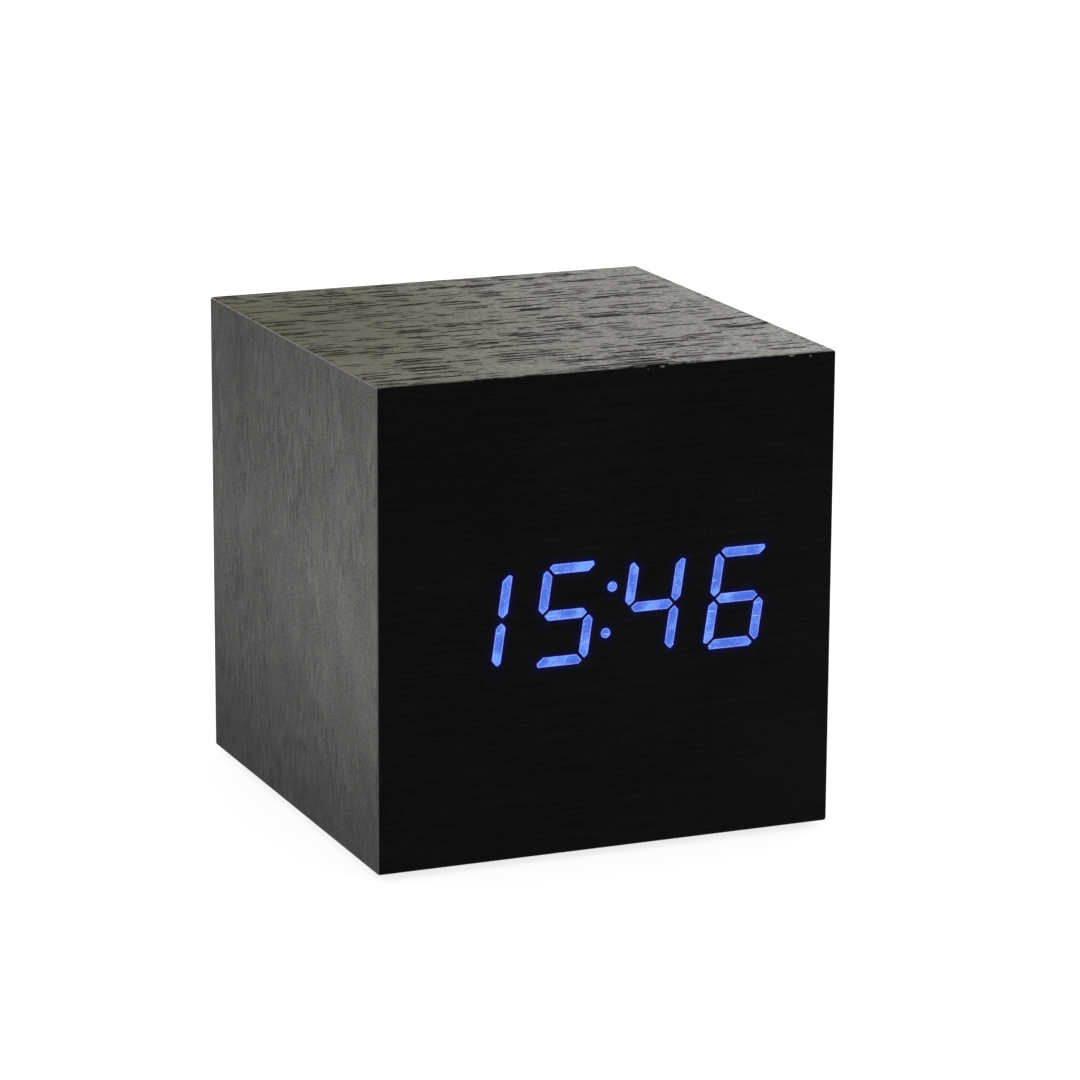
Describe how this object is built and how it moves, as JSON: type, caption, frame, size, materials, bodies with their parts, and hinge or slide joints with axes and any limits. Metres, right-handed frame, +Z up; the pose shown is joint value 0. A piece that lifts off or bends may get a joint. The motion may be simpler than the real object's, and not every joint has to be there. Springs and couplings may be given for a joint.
{
  "type": "digital alarm clock",
  "caption": "Cube-shaped digital alarm clock in a dark wood-veneer case, with glowing blue segment digits, setting buttons and a power socket at the rear, and a battery door underneath.",
  "frame": {"origin": "on the table, under the middle of the case", "axes": "+Z up, the face looks along -Y, +X to the right as seen from the front"},
  "size_m": [0.068, 0.068, 0.069],
  "materials": {
    "stained_veneer": "black-stained open-pore veneer, satin",
    "face_veneer": "thin black-stained skin, fine level grain, satin",
    "board_core": "raw fibreboard",
    "lit_skin": "translucent thinned skin lit from behind",
    "reflector_plastic": "moulded",
    "clear_resin": "cast diffusing resin",
    "circuit_board": "glass-epoxy with solder mask",
    "chip_plastic": "moulded",
    "led_chip": "small surface-mount diodes",
    "white_nylon": "moulded",
    "screw_steel": "nickel-plated",
    "bezel_plastic": "fine spark-eroded texture",
    "button_plastic": "satin",
    "plated_brass": "nickel-plated",
    "can_metal": "bright",
    "cell_jacket": "plain shrink jacket",
    "ribbon_grey": "ribbed flat cable",
    "red_insulation": "wire insulation",
    "black_insulation": "wire insulation",
    "pad_rubber": "die-cut pad"
  },
  "bodies": {
    "case": {"battery_tray": "bezel_plastic", "bezel_screws": "screw_steel", "black_lead": "black_insulation", "board_screws": "screw_steel", "board_spacers": "white_nylon", "bottom_board": "stained_veneer", "buzzer": "chip_plastic", "cell_1": "cell_jacket", "cell_2": "cell_jacket", "cell_3": "cell_jacket", "clock_crystal": "can_metal", "coin_cell": "can_metal", "coin_holder": "bezel_plastic", "contact_spring_1": "can_metal", "contact_spring_2": "can_metal", "contact_spring_3": "can_metal", "controller_chip": "chip_plastic", "dc_jack": "bezel_plastic", "display_board": "circuit_board", "display_driver": "chip_plastic", "display_reflector": "reflector_plastic", "display_ribbon": "ribbon_grey", "display_screws": "screw_steel", "display_spacers": "white_nylon", "down_switch": "chip_plastic", "foot_pads": "pad_rubber", "front_board": "board_core", "front_bridge": "plated_brass", "front_veneer": "face_veneer", "jack_pin": "plated_brass", "led_chips": "led_chip", "left_board": "stained_veneer", "lit_colon": "lit_skin", "lit_digit_1": "lit_skin", "lit_digit_2": "lit_skin", "lit_digit_3": "lit_skin", "lit_digit_4": "lit_skin", "main_board": "circuit_board", "microphone": "can_metal", "minus_terminal": "plated_brass", "plus_terminal": "plated_brass", "rear_bezel": "bezel_plastic", "rear_board": "stained_veneer", "rear_bridge": "plated_brass", "red_lead": "red_insulation", "ribbon_headers": "white_nylon", "right_board": "stained_veneer", "segment_resin": "clear_resin", "set_switch": "chip_plastic", "top_board": "stained_veneer", "tray_screws": "screw_steel", "up_switch": "chip_plastic"},
    "set_button": {"set_button": "button_plastic", "set_plunger": "white_nylon"},
    "up_button": {"up_button": "button_plastic", "up_plunger": "white_nylon"},
    "down_button": {"down_button": "button_plastic", "down_plunger": "white_nylon"},
    "battery_door": {"battery_door": "bezel_plastic"}
  },
  "joints": [
    {"name": "set_press", "type": "slide", "parent": "case", "child": "set_button", "axis": [0, -1, 0], "range_m": [0, 0.0005], "stiffness_N_per_m": 400},
    {"name": "up_press", "type": "slide", "parent": "case", "child": "up_button", "axis": [0, -1, 0], "range_m": [0, 0.0005], "stiffness_N_per_m": 400},
    {"name": "down_press", "type": "slide", "parent": "case", "child": "down_button", "axis": [0, -1, 0], "range_m": [0, 0.0005], "stiffness_N_per_m": 400},
    {"name": "door_tilt", "type": "hinge", "parent": "case", "child": "battery_door", "pos_m": [0, -0.02175, 0.0014], "axis": [-1, 0, 0], "range_deg": [0, 45]}
  ]
}
